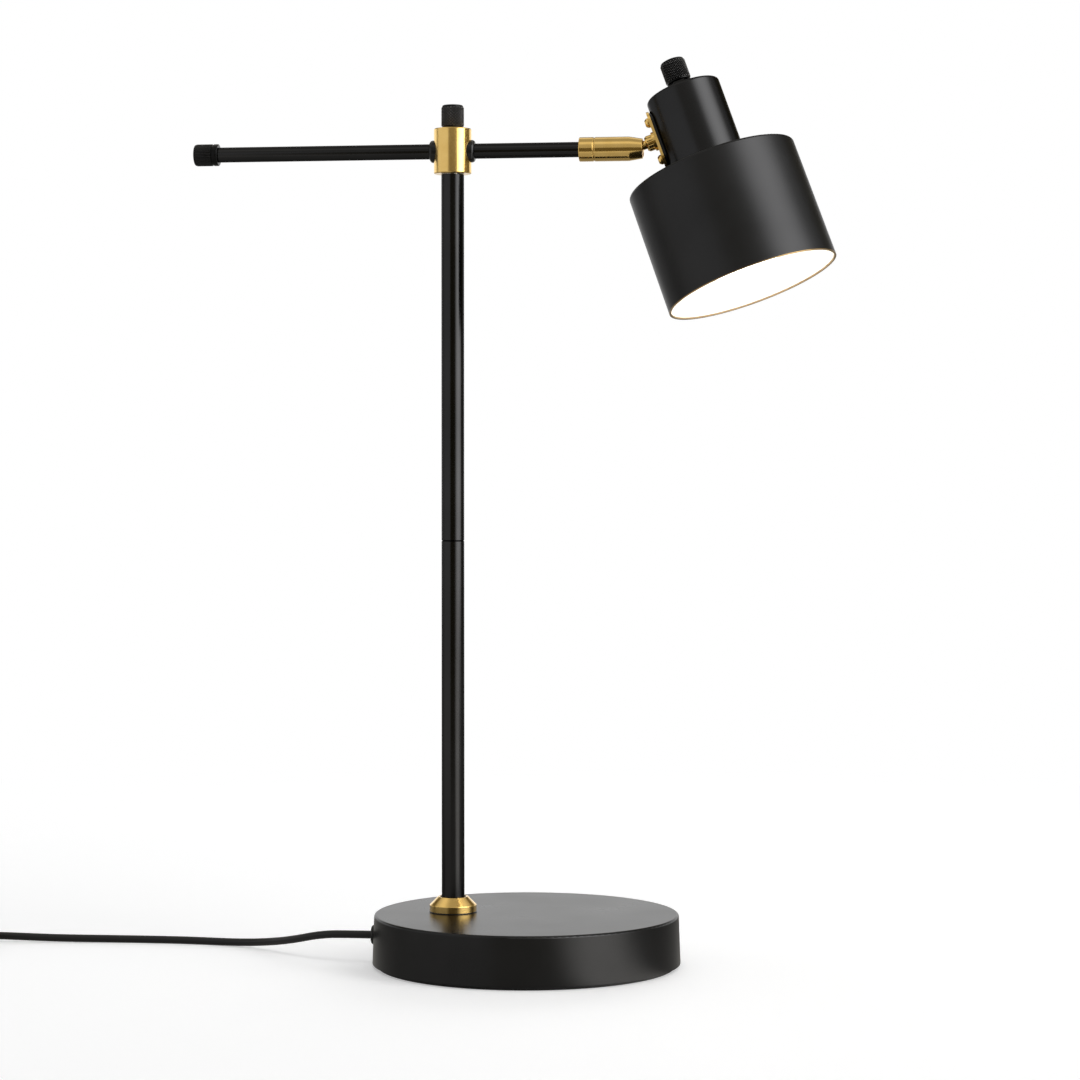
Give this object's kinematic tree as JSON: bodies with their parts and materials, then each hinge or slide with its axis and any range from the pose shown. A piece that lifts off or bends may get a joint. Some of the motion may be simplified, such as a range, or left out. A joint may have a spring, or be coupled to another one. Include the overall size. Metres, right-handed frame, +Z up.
{
  "type": "adjustable desk lamp",
  "caption": "Adjustable desk lamp: round weighted base, upright pole, sliding clamped arm, ball-jointed drum shade with a rotary switch, brass fittings and a coiled cord.",
  "frame": {"origin": "on the floor under the middle of the round base", "axes": "+Z up along the pole, +X along the arm from its tail to the lamp head, -Y to the front"},
  "size_m": [0.5982, 0.1712, 0.5026],
  "materials": {
    "black_coat": "satin black powder coat, white inside the shade",
    "black_knob": "black, knurled",
    "brass": "brushed and lacquered",
    "ballast_iron": "as cast",
    "zinc_steel": "zinc plated",
    "black_plastic": "satin",
    "holder_plastic": "matte white",
    "pad_rubber": "matte",
    "lamp_cap_metal": "rolled",
    "lamp_opal": "opal",
    "cord_jacket": "satin jacket",
    "plug_plastic": "moulded",
    "blade_metal": "bare"
  },
  "bodies": {
    "base": {"base_shell": "black_coat", "base_ballast": "ballast_iron", "bottom_plate": "zinc_steel", "foot_pad": "pad_rubber", "bottom_screw_1": "zinc_steel", "bottom_screw_2": "zinc_steel", "bottom_screw_3": "zinc_steel", "pole_collar": "brass", "pole_nipple": "zinc_steel", "nipple_washer": "zinc_steel", "nipple_nut": "zinc_steel", "pole_lower": "black_coat", "pole_coupler": "zinc_steel", "pole_upper": "black_coat", "pole_spigot": "zinc_steel", "cord_grommet": "black_plastic", "cord_free": "cord_jacket", "cord_coil": "cord_jacket", "cord_tie": "plug_plastic", "plug_body": "plug_plastic", "plug_blade_left": "blade_metal", "plug_blade_right": "blade_metal"},
    "block": {"cross_block": "brass", "arm_bush_tail": "black_plastic", "arm_bush_head": "black_plastic", "block_grub": "zinc_steel"},
    "clamp": {"clamp_knob": "black_knob", "clamp_screw": "zinc_steel", "clamp_tip": "brass"},
    "arm": {"arm_tube": "black_coat", "arm_end_cap": "black_coat", "swivel_collar": "brass"},
    "swivel": {"swivel_sleeve": "brass", "ball_seat": "black_plastic"},
    "head": {"ball_stud": "brass", "stud_nut": "zinc_steel", "mount_plate": "brass", "mount_saddle": "black_plastic", "mount_screw_lower": "brass", "mount_screw_upper": "brass", "mount_nut_lower": "zinc_steel", "mount_nut_upper": "zinc_steel", "lamp_cup": "black_coat", "shade": "black_coat", "shade_ring": "holder_plastic", "lampholder": "holder_plastic", "lampholder_contact": "brass", "lamp_cap": "lamp_cap_metal", "lamp_glass": "lamp_opal", "rotary_switch": "black_plastic", "switch_washer": "zinc_steel", "switch_nut": "zinc_steel"},
    "switch": {"switch_knob": "black_knob", "switch_shaft": "zinc_steel"}
  },
  "joints": [
    {"name": "arm_swivel", "type": "hinge", "parent": "base", "child": "block", "pos_m": [-0.0414, 0, 0.4395], "axis": [0, 0, 1], "range_deg": [-170, 170]},
    {"name": "clamp_turn", "type": "hinge", "parent": "block", "child": "clamp", "pos_m": [-0.0414, 0, 0.4395], "axis": [0, 0, 1], "range_deg": [0, 270]},
    {"name": "arm_slide", "type": "slide", "parent": "block", "child": "arm", "axis": [1, 0, 0], "range_m": [-0.04, 0.112]},
    {"name": "swivel_turn", "type": "hinge", "parent": "arm", "child": "swivel", "pos_m": [0.0606, 0, 0.452], "axis": [1, 0, 0], "range_deg": [-170, 170]},
    {"name": "head_tilt", "type": "hinge", "parent": "swivel", "child": "head", "pos_m": [0.0606, 0, 0.452], "axis": [0, -0.9907, 0.1357], "range_deg": [-43.2, 2.8]},
    {"name": "switch_turn", "type": "hinge", "parent": "head", "child": "switch", "pos_m": [0.09335, 0.00164, 0.46394], "axis": [-0.3453, 0.1274, 0.9298], "continuous": true}
  ]
}
